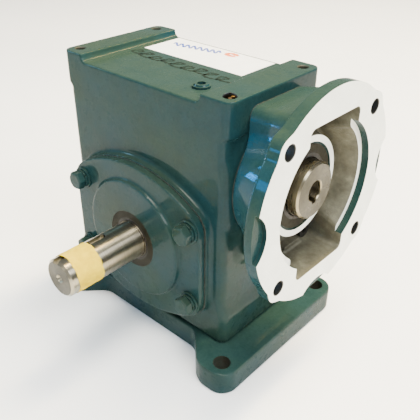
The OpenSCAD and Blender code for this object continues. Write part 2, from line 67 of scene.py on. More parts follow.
pad_x = case_high[0]  # outer face of the casing's raised pads
wall_x = pad_x - 3
wall_y = 53.5
rail_z = case_high[2]  # top of the two rails
deck_z = label_low[2]  # casing top between the rails
floor_z = foot_high[2] + 2  # lower edge of the casing wall
rail_hole = (80.2, 42.6)
plug_at = (42.6, -29.7)
worm_z = (seal_low[2] + seal_high[2]) / 2
out_z = worm_z - 66.675  # one centre distance below the worm

foot_x = foot_high[0]
foot_y = foot_high[1]
foot_hole = (100.1, 67.5)
base_screw = (66, 34)

# output covers, measured outwards from the middle plane
boss_w = 58.8  # face of the casing boss
gap_w = 59.2  # inner face of the cover, past its gasket
crown_rise = 3.4  # height of the cover's round middle over its plate
cover_out = -cover_low[1] - crown_rise
cover_half = cover_high[0]
cover_h = cover_high[2] - out_z
cover_bolt = (62.8, 34.0)
cover_bore_r = 56
shaft_end = -corners("output_shaft")[0][1]
shaft_r = 15.875

# motor flange
face_x = bell_high[0]
rim_r = 82.55
rim_t = 10.5
pilot_r = 57.15
flange_bolt_r = 149.225 / 2
adaptor_screw = (22, 52.5)
bearing_r = 42  # spigot of the adaptor, and its bore in the casing
tail_bolt_r = 37

# directions: the columns are u, v and the outward direction w
ALONG_X = Matrix(((0, 0, 1), (1, 0, 0), (0, 1, 0)))
TO_FRONT = Matrix(((1, 0, 0), (0, 0, -1), (0, 1, 0)))
TO_BACK = Matrix(((-1, 0, 0), (0, 0, 1), (0, 1, 0)))
ALONG_Z = Matrix.Identity(3)

# axes: a direction and a point
UP = (ALONG_Z, (0, 0, 0))
WORM = (ALONG_X, (0, 0, worm_z))
OUTPUT = (TO_FRONT, (0, 0, out_z))
BLIND = (TO_BACK, (0, 0, out_z))
CORNERS = [(a, b) for a in (-1, 1) for b in (-1, 1)]


# ---- distance fields ----
def hypot(a, b):
    """Elementwise, for arrays that broadcast."""
    return np.sqrt(a * a + b * b)


def rect(u, v, hu, hv, r):
    """Distance to a rectangle of half sizes hu and hv with corner radius r."""
    a = np.abs(u) - (hu - r)
    b = np.abs(v) - (hv - r)
    return np.minimum(np.maximum(a, b), 0) + hypot(np.maximum(a, 0), np.maximum(b, 0)) - r


def disc(u, v, r):
    """Distance to a circle of radius r."""
    return hypot(u, v) - r


def quarter_points(r):
    """Four points on a circle of radius r, the first at 45 degrees."""
    angles = [math.radians(45 + 90 * k) for k in range(4)]
    return [(r * math.cos(t), r * math.sin(t)) for t in angles]


def extrude(outline, w, w0, w1, edge):
    """An outline distance extruded from w0 to w1, its edges rounded."""
    a = outline + edge
    b = np.abs(w - (w0 + w1) / 2) - (w1 - w0) / 2 + edge
    return np.minimum(np.maximum(a, b), 0) + hypot(np.maximum(a, 0), np.maximum(b, 0)) - edge


def join(a, b, r):
    """Union with a round fillet of radius r."""
    u = np.maximum(r - a, 0)
    v = np.maximum(r - b, 0)
    return np.maximum(r, np.minimum(a, b)) - hypot(u, v)


def meet(a, b, r):
    """Intersection with a round edge of radius r."""
    u = np.maximum(r + a, 0)
    v = np.maximum(r + b, 0)
    return np.minimum(-r, np.maximum(a, b)) + hypot(u, v)


def ramp(value, width):
    """Smooth step from 0 to 1 over the given width, centred on 0."""
    t = np.clip(value / width + 0.5, 0, 1)
    return t * t * (3 - 2 * t)


# ---- meshing of a distance field ----
def surface(field, low, high, step):
    """Vertices and quads where field(x, y, z) is zero, one vertex a cell, pulled onto the surface."""
    axes = [np.arange(low[i] - 2.3 * step, high[i] + 2.6 * step, step) for i in range(3)]
    shape = tuple(len(a) for a in axes)
    value = np.broadcast_to(field(*np.ix_(*axes)), shape)
    inside = value < 0
    cells = tuple(n - 1 for n in shape)
    total = np.zeros((3, math.prod(cells)))
    count = np.zeros(math.prod(cells))
    quads = []
    for axis in range(3):
        first = tuple(slice(0, -1) if i == axis else slice(None) for i in range(3))
        second = tuple(slice(1, None) if i == axis else slice(None) for i in range(3))
        at = np.stack(np.nonzero(inside[first] != inside[second]), 1)
        after = at.copy()
        after[:, axis] += 1
        v0 = value[tuple(at.T)]
        v1 = value[tuple(after.T)]
        point = np.stack([axes[i][at[:, i]] for i in range(3)], 1)
        point[:, axis] += step * v0 / (v0 - v1)
        ring = []
        for du, dv in ((0, 0), (-1, 0), (-1, -1), (0, -1)):
            cell = at.copy()
            cell[:, (axis + 1) % 3] += du
            cell[:, (axis + 2) % 3] += dv
            flat = np.ravel_multi_index(tuple(cell.T), cells)
            ring.append(flat)
            count += np.bincount(flat, minlength=len(count))
            for i in range(3):
                total[i] += np.bincount(flat, point[:, i], len(count))
        ring = np.stack(ring, 1)
        outward = v0 < 0
        quads.append(ring[outward])
        quads.append(ring[~outward][:, ::-1])
    used, faces = np.unique(np.concatenate(quads), return_inverse=True)
    verts = (total[:, used] / count[used]).T
    for _ in range(3):
        verts = verts - settle(field, verts, step)
    return verts, faces.reshape(-1, 4)


def settle(field, verts, step):
    """How far each vertex moves to reach the zero of the field."""
    eps = 0.15 * step
    f = field(*verts.T)
    slope = np.stack([
        (field(*(verts + eps * np.eye(3)[i]).T) - field(*(verts - eps * np.eye(3)[i]).T)) / (2 * eps)
        for i in range(3)], 1)
    move = (f / np.maximum((slope ** 2).sum(1), 0.2))[:, None] * slope
    length = np.maximum(np.linalg.norm(move, axis=1, keepdims=True), 1e-9)
    return move * np.minimum(1, 0.5 * step / length)


# ---- objects ----
def add_object(name, verts, faces, materials=()):
    """A mesh object from millimetre vertices."""
    mesh = bpy.data.meshes.new(name)
    mesh.from_pydata((np.asarray(verts, float) * MM).tolist(), [], [list(f) for f in faces])
    mesh.validate()
    mesh.update()
    obj = bpy.data.objects.new(name, mesh)
    bpy.context.scene.collection.objects.link(obj)
    for material in materials:
        mesh.materials.append(material)
    return obj


def bake_modifiers(obj):
    """Replaces the mesh with its evaluated one."""
    graph = bpy.context.evaluated_depsgraph_get()
    mesh = bpy.data.meshes.new_from_object(obj.evaluated_get(graph))
    old = obj.data
    obj.modifiers.clear()
    obj.data = mesh
    mesh.name = old.name
    bpy.data.meshes.remove(old)


def thin(obj, ratio):
    """Keeps this share of the faces."""
    mod = obj.modifiers.new("thin", "DECIMATE")
    mod.ratio = ratio
    bake_modifiers(obj)


def cast(name, field, low, high, step, material, ratio=0.4):
    """A cast body from a distance field."""
    verts, faces = surface(field, low, high, step)
    obj = add_object(name, verts, faces, [material])
    thin(obj, ratio)
    return obj


def placed(points, axis):
    """Points given as (u, v, w) about an axis, in the frame of the model."""
    basis, at = axis
    return [tuple(basis @ Vector(p) + Vector(at)) for p in points]


def prism(name, outline, w0, w1, axis, material):
    """A closed prism: outline in u, v from w0 to w1."""
    n = len(outline)
    points = [(u, v, w) for w in (w0, w1) for u, v in outline]
    faces = [tuple(range(n - 1, -1, -1)), tuple(range(n, 2 * n))]
    faces += [(i, (i + 1) % n, n + (i + 1) % n, n + i) for i in range(n)]
    return add_object(name, placed(points, axis), faces, [material])


def lathe(name, profile, axis, material, steps=96):
    """A closed loop of (radius, w) points turned about w. Points of radius 0 close on the axis."""
    points = []
    rings = []
    for r, w in profile:
        if r <= 0:
            rings.append([len(points)] * steps)
            points.append((0, 0, w))
        else:
            rings.append(list(range(len(points), len(points) + steps)))
            points += [(r * math.cos(2 * math.pi * k / steps), r * math.sin(2 * math.pi * k / steps), w)
                       for k in range(steps)]
    faces = []
    for a, b in zip(rings, rings[1:] + rings[:1], strict=True):
        for k in range(steps):
            j = (k + 1) % steps
            face = [a[k], a[j], b[j], b[k]]
            face = [v for i, v in enumerate(face) if v != face[i - 1]]
            if len(face) > 2:
                faces.append(face)
    before = profile[-1:] + profile[:-1]
    area = sum(r0 * w1 - r1 * w0 for (r0, w0), (r1, w1) in zip(before, profile, strict=True))
    if area < 0:
        faces = [f[::-1] for f in faces]
    return add_object(name, placed(points, axis), faces, [material])


def round_outline(r, at, steps):
    return [(at[0] + r * math.cos(2 * math.pi * k / steps), at[1] + r * math.sin(2 * math.pi * k / steps))
            for k in range(steps)]


def rod(name, r, w0, w1, axis, material, steps=96, off=(0, 0)):
    """A round prism from w0 to w1, moved off its axis by (u, v)."""
    return prism(name, round_outline(r, off, steps), w0, w1, axis, material)


def rect_outline(su, sv, r, steps=8):
    """Corner points of a rounded rectangle of full sizes su and sv."""
    points = []
    for turn, (a, b) in enumerate(((1, 1), (-1, 1), (-1, -1), (1, -1))):
        for k in range(steps + 1):
            t = math.pi / 2 * (turn + k / steps)
            points.append((a * (su / 2 - r) + r * math.cos(t), b * (sv / 2 - r) + r * math.sin(t)))
    return points


def cut(obj, tools):
    """Takes each tool away from obj, keeping the tool's material on the cut faces."""
    for tool in tools:
        mod = obj.modifiers.new("cut", "BOOLEAN")
        mod.operation = "DIFFERENCE"
        mod.solver = "MANIFOLD"
        mod.material_mode = "TRANSFER"
        mod.object = tool
    bake_modifiers(obj)
    for tool in tools:
        bpy.data.objects.remove(tool)


def finish_casting(obj, tools, node):
    """Cuts a painted casting, shades it and puts it in place of its CAD node."""
    cut(obj, tools)
    smooth(obj)
    stand_for(obj, node)


def stand_for(obj, node):
    """A painted piece of the casing that replaces a CAD node."""
    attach(obj, "casing")
    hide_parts(node)


def smooth(obj, angle=32):
    """Smooth shading with hard edges past the angle and normals weighted by area."""
    mesh = obj.data
    mesh.shade_smooth()
    mesh.set_sharp_from_angle(angle=math.radians(angle))
    mod = obj.modifiers.new("normals", "WEIGHTED_NORMAL")
    mod.keep_sharp = True
    mod.weight = 50


# ---- materials ----
class Nodes:
    """A short way to build one material's node tree."""

    def __init__(self, name, color, rough, metallic=0.0):
        self.material = bpy.data.materials.new(name)
        self.material.use_nodes = True
        self.tree = self.material.node_tree
        self.shader = self.tree.nodes["Principled BSDF"]
        self.shader.inputs["Base Color"].default_value = (*color, 1)
        self.shader.inputs["Roughness"].default_value = rough
        self.shader.inputs["Metallic"].default_value = metallic
        self.place = self.add("ShaderNodeTexCoord").outputs["Object"]

    def add(self, kind, **values):
        """A node with its properties or input values set by name."""
        node = self.tree.nodes.new(kind)
        for key, value in values.items():
            if hasattr(node, key):
                setattr(node, key, value)
            else:
                node.inputs[key.replace("_", " ")].default_value = value
        return node

    def link(self, source, target):
        self.tree.links.new(source, target)

    def stretched(self, scale):
        """Object coordinates scaled by axis."""
        node = self.add("ShaderNodeMapping")
        node.inputs["Scale"].default_value = scale
        self.link(self.place, node.inputs["Vector"])
        return node.outputs["Vector"]

    def noise(self, scale, detail=4.0, rough=0.55, vector=None):
        node = self.add("ShaderNodeTexNoise", Scale=scale, Detail=detail, Roughness=rough)
        self.link(vector or self.place, node.inputs["Vector"])
        return node.outputs["Fac"]

    def bands(self, fac, stops):
        """A colour ramp: stops are (position, grey or colour)."""
        node = self.add("ShaderNodeValToRGB")
        elements = node.color_ramp.elements
        while len(elements) < len(stops):
            elements.new(0.5)
        for element, (position, value) in zip(elements, stops, strict=True):
            element.position = position
            element.color = (*value, 1) if isinstance(value, tuple) else (value, value, value, 1)
        self.link(fac, node.inputs["Fac"])
        return node.outputs["Color"]

    def mix(self, fac, a, b):
        """Mixes two colours or sockets."""
        node = self.add("ShaderNodeMix", data_type="RGBA")
        color_a, color_b = node.inputs[6], node.inputs[7]
        for socket, value in ((color_a, a), (color_b, b)):
            if isinstance(value, tuple):
                socket.default_value = (*value, 1)
            else:
                self.link(value, socket)
        if isinstance(fac, float):
            node.inputs[0].default_value = fac
        else:
            self.link(fac, node.inputs[0])
        return node.outputs[2]

    def maths(self, operation, a, b=0.0):
        node = self.add("ShaderNodeMath", operation=operation)
        for socket, value in zip(node.inputs, (a, b), strict=False):
            if isinstance(value, (int, float)):
                socket.default_value = value
            else:
                self.link(value, socket)
        return node.outputs[0]

    def facing(self, axis):
        """How far the surface faces along an axis, from -1 to 1."""
        split = self.add("ShaderNodeSeparateXYZ")
        self.link(self.add("ShaderNodeTexCoord").outputs["Normal"], split.inputs[0])
        return split.outputs[axis]

    def edge(self, radius):
        """0 on flat surface, rising to 1 near edges."""
        bevel = self.add("ShaderNodeBevel", samples=4)
        bevel.inputs["Radius"].default_value = radius
        flat = self.add("ShaderNodeNewGeometry")
        dot = self.add("ShaderNodeVectorMath", operation="DOT_PRODUCT")
        self.link(bevel.outputs["Normal"], dot.inputs[0])
        self.link(flat.outputs["Normal"], dot.inputs[1])
        return self.maths("SUBTRACT", 1.0, dot.outputs["Value"])

    def bump(self, height, distance, strength=1.0, base=None):
        node = self.add("ShaderNodeBump", Strength=strength, Distance=distance)
        self.link(height, node.inputs["Height"])
        if base:
            self.link(base, node.inputs["Normal"])
        return node.outputs["Normal"]

    def finish(self, color, rough=None, normal=None):
        """Links what is given to the shader."""
        for name, source in (("Base Color", color), ("Roughness", rough), ("Normal", normal)):
            if source is not None:
                self.link(source, self.shader.inputs[name])
        return self.material


PAINT = (0.0085, 0.0325, 0.0395)
PAINT_DARK = (0.0045, 0.0185, 0.0205)
PAINT_OLIVE = (0.018, 0.036, 0.025)
# olive tone for upward faces: partly dust, partly painted warm light falling on the tops
PAINT_TOP_DUST_AND_LIGHT = (0.025, 0.035, 0.0195)
# painted light: a lighter, bluer tone for the foot's upward faces, standing in for light the lamps don't
# bring there
FOOT_TOP_LIGHT = (0.024, 0.054, 0.046)
# lighter olive for edges: partly wear, partly a painted highlight of the warm light along the edges
PAINT_EDGE_WEAR_AND_HIGHLIGHT = (0.05, 0.075, 0.04)
SCUFF_DARK = (0.021, 0.0175, 0.01)
SCUFF_LIGHT = (0.055, 0.048, 0.029)


def paint_material(name, top_dust_and_light):
    """Enamel with a lighter olive tone on its upward faces, partly dust and partly painted warm top light,
    and a lighter olive tone at its edges, partly wear and partly painted edge highlight.
    """
    n = Nodes(name, PAINT, 0.3)
    n.shader.inputs["Specular IOR Level"].default_value = 0.02
    n.shader.inputs["Coat Weight"].default_value = 0.15
    n.shader.inputs["Coat Roughness"].default_value = 0.06
    cloud = n.bands(n.noise(18, 5), [(0.35, 0.0), (0.68, 1.0)])
    grime = n.bands(n.noise(70, 6, 0.65), [(0.46, 0.0), (0.75, 1.0)])
    speckle = n.bands(n.noise(520, 4, 0.7), [(0.4, 0.0), (0.64, 1.0)])
    # upward faces lean towards the top tone: partly dust, partly painted warm top light
    upward = n.bands(n.facing(2), [(0.55, 0.0), (0.95, 1.0)])
    color = n.mix(cloud, PAINT, PAINT_OLIVE)
    color = n.mix(n.maths("MULTIPLY", upward, 0.55), color, top_dust_and_light)
    color = n.mix(n.maths("MULTIPLY", speckle, 0.3), color, PAINT_DARK)
    color = n.mix(n.maths("MULTIPLY", grime, 0.4), color, PAINT_DARK)
    chips = n.maths("MULTIPLY", n.noise(260, 5, 0.7), 0.22)
    # edges and chips lean towards the edge tone: partly wear, partly painted edge highlight
    edge_wear_and_highlight = n.bands(n.maths("ADD", n.edge(0.0012), chips), [(0.2, 0.0), (0.36, 1.0)])
    color = n.mix(n.maths("MULTIPLY", edge_wear_and_highlight, 0.35), color, PAINT_EDGE_WEAR_AND_HIGHLIGHT)
    rough = n.bands(n.noise(120, 5, 0.6), [(0.3, 0.22), (0.75, 0.4)])
    peel = n.bump(n.noise(1100, 4, 0.6), 0.00016, 0.7)
    lumps = n.bump(n.noise(260, 4, 0.5), 0.00035, 0.45, peel)
    return n.finish(color, rough, n.bump(n.noise(40, 3, 0.5), 0.001, 0.25, lumps))


def rough_iron_material():
    """Bare cast surface in three tones."""
    n = Nodes("bare_casting", (0.2, 0.19, 0.15), 0.6, 0.35)
    tones = [(0.3, (0.06, 0.055, 0.036)), (0.55, (0.125, 0.117, 0.08)), (0.8, (0.25, 0.235, 0.16))]
    color = n.bands(n.noise(60, 6, 0.65), tones)
    rough = n.bands(n.noise(200, 4), [(0.3, 0.42), (0.7, 0.66)])
    return n.finish(color, rough, n.bump(n.noise(420, 5, 0.7), 0.0006, 0.7))


def machined_material(name, light, dark, rough, metallic, marks, end_axis=None):
    """Bare metal with fine tool marks, given as their frequency by axis.

    Turned metal has an end axis: its sides stretch highlights along that axis, and its ends are scuffed.
    """
    n = Nodes(name, light, rough[0], metallic)
    if end_axis is not None:
        turning = n.add("ShaderNodeTangent", direction_type="RADIAL", axis="XYZ"[end_axis])
        n.link(turning.outputs["Tangent"], n.shader.inputs["Tangent"])
        n.shader.inputs["Anisotropic"].default_value = 0.85
        n.shader.inputs["Anisotropic Rotation"].default_value = 0.25
    lines = n.noise(1.0, 6, 0.6, n.stretched(marks))
    stains = n.noise(45, 5, 0.6)
    color = n.mix(n.bands(lines, [(0.3, 0.0), (0.7, 1.0)]), dark, light)
    color = n.mix(n.bands(stains, [(0.55, 0.0), (0.8, 0.5)]), color, dark)
    if end_axis is not None:
        end = n.bands(n.maths("ABSOLUTE", n.facing(end_axis)), [(0.9, 0.0), (0.97, 1.0)])
        scuffs = n.bands(n.noise(220, 6, 0.7), [(0.35, SCUFF_DARK), (0.7, SCUFF_LIGHT)])
        color = n.mix(end, color, scuffs)
    rough_map = n.bands(lines, [(0.25, rough[0]), (0.75, rough[1])])
    return n.finish(color, rough_map, n.bump(lines, 0.00001, 0.12))


def plain_material(name, color, dark, rough, metallic=0.0, grain=300.0, gloss=0.5):
    """Two-tone material with light grain."""
    n = Nodes(name, color, rough, metallic)
    n.shader.inputs["Specular IOR Level"].default_value = gloss
    tone = n.mix(n.bands(n.noise(grain * 0.3, 5), [(0.35, 0.0), (0.7, 1.0)]), color, dark)
    rough_map = n.bands(n.noise(grain, 4), [(0.3, rough * 0.85), (0.75, min(1.0, rough * 1.25))])
    return n.finish(tone, rough_map, n.bump(n.noise(grain * 2, 3), 0.0001, 0.35))


def label_material():
    """White film, slightly wavy."""
    n = Nodes("label_film", (0.86, 0.86, 0.83), 0.38)
    film = n.bands(n.noise(90, 4), [(0.3, (0.8, 0.8, 0.78)), (0.7, (0.88, 0.88, 0.86))])
    return n.finish(film, None, n.bump(n.noise(30, 2), 0.0006, 0.25))


PAINT_MAT = paint_material("enamel_paint", PAINT_TOP_DUST_AND_LIGHT)
# foot enamel whose upward faces carry painted light
FOOT_PAINT_LIT_TOP = paint_material("foot_paint_lit_top", FOOT_TOP_LIGHT)
IRON_MAT = rough_iron_material()
FACE_MAT = machined_material(
    "milled_face", (0.93, 0.945, 0.86), (0.79, 0.8, 0.72), (0.34, 0.52), 0.12, (900, 40, 40))
TURNED_MAT = machined_material(
    "turned_steel", (0.38, 0.34, 0.25), (0.26, 0.23, 0.165), (0.27, 0.33), 1.0, (30, 1500, 30), 1)
QUILL_MAT = machined_material(
    "quill_steel", (0.3, 0.265, 0.185), (0.19, 0.155, 0.095), (0.22, 0.36), 1.0, (260, 30, 30), 0)
BRIGHT_MAT = machined_material(
    "bright_steel", (0.58, 0.58, 0.57), (0.4, 0.4, 0.39), (0.2, 0.4), 1.0, (300, 300, 300))
DARK_MAT = plain_material("dark_steel", (0.035, 0.034, 0.03), (0.02, 0.018, 0.014), 0.42, 0.6)
HOLE_MAT = plain_material("hole_wall", (0.022, 0.028, 0.019), (0.035, 0.028, 0.016), 0.6, 0.2)
HUB_MAT = plain_material("cast_iron_hub", (0.16, 0.155, 0.14), (0.1, 0.095, 0.085), 0.5, 0.8)
BRONZE_MAT = plain_material("bronze", (0.55, 0.34, 0.15), (0.36, 0.2, 0.08), 0.32, 1.0)
BRASS_MAT = plain_material("brass_vent", (0.016, 0.011, 0.005), (0.008, 0.005, 0.003), 0.16, 1.0)
SEAL_MAT = plain_material("seal_face", (0.019, 0.017, 0.0105), (0.0115, 0.01, 0.0058), 0.5, 0.0, gloss=0.05)
RUBBER_MAT = plain_material("seal_rubber", (0.016, 0.014, 0.012), (0.026, 0.021, 0.017), 0.55, gloss=0.2)
GASKET_MAT = plain_material("gasket_paper", (0.016, 0.026, 0.022), (0.03, 0.028, 0.02), 0.8)
LABEL_MAT = label_material()
TAPE_MAT = plain_material("masking_tape", (0.68, 0.49, 0.02), (0.54, 0.36, 0.01), 0.6, 0.0, 500.0, 0.06)
INK_BLUE = plain_material("label_blue", (0.015, 0.05, 0.3), (0.05, 0.1, 0.4), 0.5)
INK_ORANGE = plain_material("label_orange", (0.6, 0.11, 0.03), (0.7, 0.2, 0.08), 0.5)
MARKER_MAT = plain_material("marker_ink", (0.006, 0.009, 0.007), (0.012, 0.019, 0.014), 0.6, gloss=0.1)


# ---- casing ----
bell_root_r = 48
bell_root_half = (32, 63)


def cover_outline(u, v, grow):
    """Distance to the cover outline: two long arcs, two short sides and round corners."""
    arc_r = 120
    arc_at = cover_h - arc_r
    arcs = np.maximum(disc(u, v - arc_at, arc_r + grow), disc(u, v + arc_at, arc_r + grow))
    sides = np.abs(u) - (cover_half + grow)
    return meet(meet(arcs, sides, 4), disc(u, v, 82.6 + grow), 3)


def bell_foot_outline(y, v):
    """Where the motor bell meets the casing: a disc joined to an upright box."""
    return join(disc(y, v, bell_root_r), rect(y, v, *bell_root_half, 8), 6)


def housing_field(x, y, z):
    """Walls with raised pads, a recessed top, a boss under each output cover, and feet."""
    rail_pad_h = 28
    skirt_h = 30
    tail_pad_r = 44
    recess_x, recess_half, recess_h = -1.95, 64.25, 30
    worm_v = z - worm_z
    rails = ramp(z - (rail_z - rail_pad_h), 5)
    skirt = ramp(floor_z + skirt_h - z, 16)
    bell_pad = ramp(5 - bell_foot_outline(y, worm_v), 11) * (x > 0)
    tail_pad = ramp(-disc(y, worm_v, tail_pad_r) + 1, 4) * (x < 0)
    raised = np.maximum(np.maximum(rails, skirt), np.maximum(bell_pad, tail_pad))
    length = wall_x + (pad_x - wall_x) * raised
    body = extrude(rect(x, y, length, wall_y, 7), z, floor_z, rail_z, 1.3)
    recess = rect(x - recess_x, z - (deck_z + recess_h), recess_half, recess_h, 5)
    body = meet(body, -recess, 1.6)
    boss = extrude(cover_outline(x, z - out_z, 0.8), y, -boss_w, boss_w, 1.0)
    body = join(body, boss, 3.5)
    feet = extrude(rect(np.abs(x) - 64, np.abs(y) - 32, 17, 13, 3), z, foot_high[2], floor_z + 4, 0.4)
    return np.minimum(body, feet)


def housing_tools():
    plug_r = 6.6
    tail_end = -pad_x - 5
    drain = (ALONG_X, (0, 0, 44))
    level = (ALONG_X, (0, 0, out_z + 12))
    tools = [
        prism("hollow", rect_outline(154, 87, 8), floor_z + 10, deck_z - 10.9, UP, IRON_MAT),
        rod("cross_bore", cover_bore_r, -70, 70, OUTPUT, FACE_MAT, 128),
        rod("tail_bore", 31, tail_end, -60, WORM, FACE_MAT),
        rod("worm_bore", bearing_r, 60, pad_x + 5, WORM, FACE_MAT),
        rod("plug_hole", plug_r, deck_z - 20, deck_z + 10, (ALONG_Z, (*plug_at, 0)), DARK_MAT, 48),
        rod("drain_hole", plug_r, tail_end, -70, drain, DARK_MAT, 48),
        rod("level_hole", plug_r, tail_end, -70, level, DARK_MAT, 48),
    ]
    # blind tapped hole with a small countersink
    profile = [(0, rail_z - 13), (4, rail_z - 11), (4, rail_z - 0.7), (4.9, rail_z + 0.2),
               (4.9, rail_z + 3), (0, rail_z + 3)]
    for a, b in CORNERS:
        at = (a * rail_hole[0], b * rail_hole[1], 0)
        tools.append(lathe("rail_hole", profile, (ALONG_Z, at), HOLE_MAT, 48))
    return tools


def make_housing():
    obj = cast("casing_shell", housing_field, case_low - 1, case_high + 1, 1.15, PAINT_MAT)
    finish_casting(obj, housing_tools(), "housing")


# ---- foot base ----
def foot_outline(x, y):
    """Two end bars joined by a middle that flares at 45 degrees."""
    middle_y = 55.4
    flare_x = foot_x - 55.6
    corner, inner_corner = 15, 20
    middle = rect(x, y, foot_x - 20, middle_y, 2)
    flare = (np.abs(y) - middle_y - np.abs(x) + flare_x) * 0.5 ** 0.5
    ends = meet(rect(x, y, foot_x, foot_y, corner), flare, inner_corner * (1 - 0.5 ** 0.5))
    return join(middle, ends, 4)


def foot_field(x, y, z):
    return extrude(foot_outline(x, y), z, 0, foot_high[2], 1.6)


def make_foot():
    obj = cast("foot_plate", foot_field, foot_low - 1, foot_high + 1, 1.25, FOOT_PAINT_LIT_TOP, 0.3)
    tools = []
    # counterbored from below for a socket screw
    profile = [(0, -2), (8.4, -2), (8.4, 10.5), (5, 10.5), (5, 30), (0, 30)]
    for a, b in CORNERS:
        at = (a * foot_hole[0], b * foot_hole[1], 0)
        tools.append(rod("foot_hole", 7.15, -2, 30, (ALONG_Z, at), HOLE_MAT, 48))
        at = (a * base_screw[0], b * base_screw[1], 0)
        tools.append(lathe("screw_hole", profile, (ALONG_Z, at), DARK_MAT, 48))
    finish_casting(obj, tools, "foot_base")


# ---- output covers ----
def cover_field(u, v, w, bore):
    """Plate with a round crown outside and a spigot and bearing seat inside."""
    crown = cover_out + crown_rise
    plate = extrude(cover_outline(u, v, 0), w, gap_w, cover_out, 1.3)
    raised = extrude(disc(u, v, 52.5), w, gap_w + 1, crown, 1.5)
    body = join(plate, raised, 2.2)
    if not bore:
        cap = extrude(disc(u, v, 22), w, gap_w + 1, crown, 1.0)
        body = np.minimum(body, cap)
    inside = -disc(u, v, 48) * (w < gap_w) - 99 * (w >= gap_w)
    spigot = np.maximum(extrude(disc(u, v, cover_bore_r - 0.05), w, 50, gap_w + 2, 0.5), inside)
    seat = extrude(disc(u, v, 39), w, 42, gap_w + 2, 0.5)
    return np.minimum(np.minimum(body, spigot), seat)


def cover_tools(axis, bore):
    tools = [rod("cup_seat", 31, 30, 60, axis, FACE_MAT)]
    if bore:
        tools.append(rod("shaft_hole", 22, 50, 80, axis, FACE_MAT))
        profile = [(0, 61.2), (25.2, 61.2), (25.2, cover_out + 3.0), (25.7, cover_out + 3.5),
                   (25.7, 80), (0, 80)]
        tools.append(lathe("seal_seat", profile, axis, HOLE_MAT))
    for a, b in CORNERS:
        tools.append(rod("bolt_hole", 5, 50, 70, axis, DARK_MAT, 48, (a * cover_bolt[0], b * cover_bolt[1])))
    return tools


def make_covers():
    for side, name, node, axis in ((-1, "output_cover", "front_cover", OUTPUT),
                                   (1, "blind_cover", "rear_cover", BLIND)):
        low, high = corners(node)

        def field(x, y, z, side=side):
            return cover_field(x, z - out_z, side * y, side < 0)

        obj = cast(name, field, low - 1, high + 1, 1.1, PAINT_MAT)
        finish_casting(obj, cover_tools(axis, side < 0), node)


# ---- motor adaptor ----
def rim_outline(y, v):
    """Distance to the flange outline: a disc with an ear at each bolt."""
    ears = np.full(np.broadcast(y, v).shape, 99.0)
    for ear_y, ear_v in quarter_points(75):
        ears = np.minimum(ears, disc(y - ear_y, v - ear_v, 10.8))
    return join(disc(y, v, rim_r), ears, 3)


def bell_radius(x):
    """Outer radius of the round part of the bell along the worm axis."""
    return np.interp(x, [pad_x, 118, 122, 125.5, 127.4, 140], [bell_root_r, 59, 61.5, 66, 69.5, 69.5])


def adaptor_field(x, y, z):
    """A box that widens from the casing, joined to a round bell, a flange and a spigot."""
    v = z - worm_z
    back = face_x - rim_t
    rim = extrude(rim_outline(y, v), x, back, face_x + 4, 1.6)
    grow = np.clip((x - pad_x) / (back - pad_x), 0, 1)
    box_part = rect(y, v, 33 + 9 * grow, 63 + 6 * grow, 9)
    round_part = disc(y, v, bell_radius(x)) * 0.85
    neck = join(box_part, round_part, 7)
    neck = extrude(neck, x, pad_x + 0.5, back + 4, 0.8)
    spigot = extrude(disc(y, v, bearing_r), x, 79, pad_x + 5, 0.5)
    return np.minimum(join(neck, rim, 4), spigot)


def adaptor_hollow_field(x, y, z):
    """The cast space inside the bell, round the bearing hub."""
    v = z - worm_z
    back = 104
    slot = extrude(rect(y, v, 30.9, 60.3, 5), x, 101, face_x + 10, 2.5)
    radius = np.interp(x, [back, face_x - 6], [46, 52.5])
    bowl = extrude(disc(y, v, radius) * 0.95, x, back, face_x + 10, 3)
    hub_r = np.interp(x, [79, back, 118, 120], [45, 43, 39.6, 39.6])
    hub = extrude(disc(y, v, hub_r) * 0.95, x, 60, 119.2, 0.8)
    lug = extrude(rect(y - 5, v + 61, 11, 5, 1.5), x, 90, 110, 1)
    space = join(slot, bowl, 2)
    return meet(space, -np.minimum(hub, lug), 2.5)


def adaptor_tools():
    low = np.array((98, -62, worm_z - 62))
    high = np.array((face_x + 11, 62, worm_z + 62))
    out_x = face_x + 8
    tools = [
        cast("bell_space", adaptor_hollow_field, low, high, 1.1, IRON_MAT, 0.5),
        prism("trim", rect_outline(220, 220, 1), face_x, face_x + 20, WORM, FACE_MAT),
    ]
    for r, off in ((24, (95.4, 0)), (24, (-95.4, 0)), (26.5, (0, -100.2))):
        tools.append(rod("scallop", r, face_x - 3.3, out_x, WORM, PAINT_MAT, off=off))
    tools += [
        rod("pilot", pilot_r, face_x - 6, out_x, WORM, PAINT_MAT, 160),
        rod("ledge", pilot_r - 0.05, face_x - 6.06, face_x - 5, WORM, FACE_MAT, 160),
        rod("hub_face", 40.6, 118, 121, WORM, FACE_MAT),
        rod("bearing_seat", 37.5, 70, 100, WORM, FACE_MAT),
        lathe("ring_groove", [(30, 82.2), (39.05, 82.2), (39.05, 84), (30, 84)], WORM, FACE_MAT),
        rod("shoulder", 29, 98, 112, WORM, FACE_MAT),
        rod("seal_seat", 32.8, 109, 122, WORM, FACE_MAT),
        rod("seal_edge", 34.6, 116.4, 122, WORM, PAINT_MAT),
    ]
    profile = [(0, face_x - 30), (5.55, face_x - 30), (5.55, face_x - 0.5), (6.2, face_x + 0.15),
               (6.2, face_x + 5), (0, face_x + 5)]
    for y, v in quarter_points(flange_bolt_r):
        tools.append(lathe("flange_hole", profile, (ALONG_X, (0, y, worm_z + v)), DARK_MAT, 48))
    for a, b in CORNERS:
        off = (a * adaptor_screw[0], b * adaptor_screw[1])
        tools.append(rod("screw_hole", 4.4, 80, 104, WORM, DARK_MAT, 48, off))
    return tools


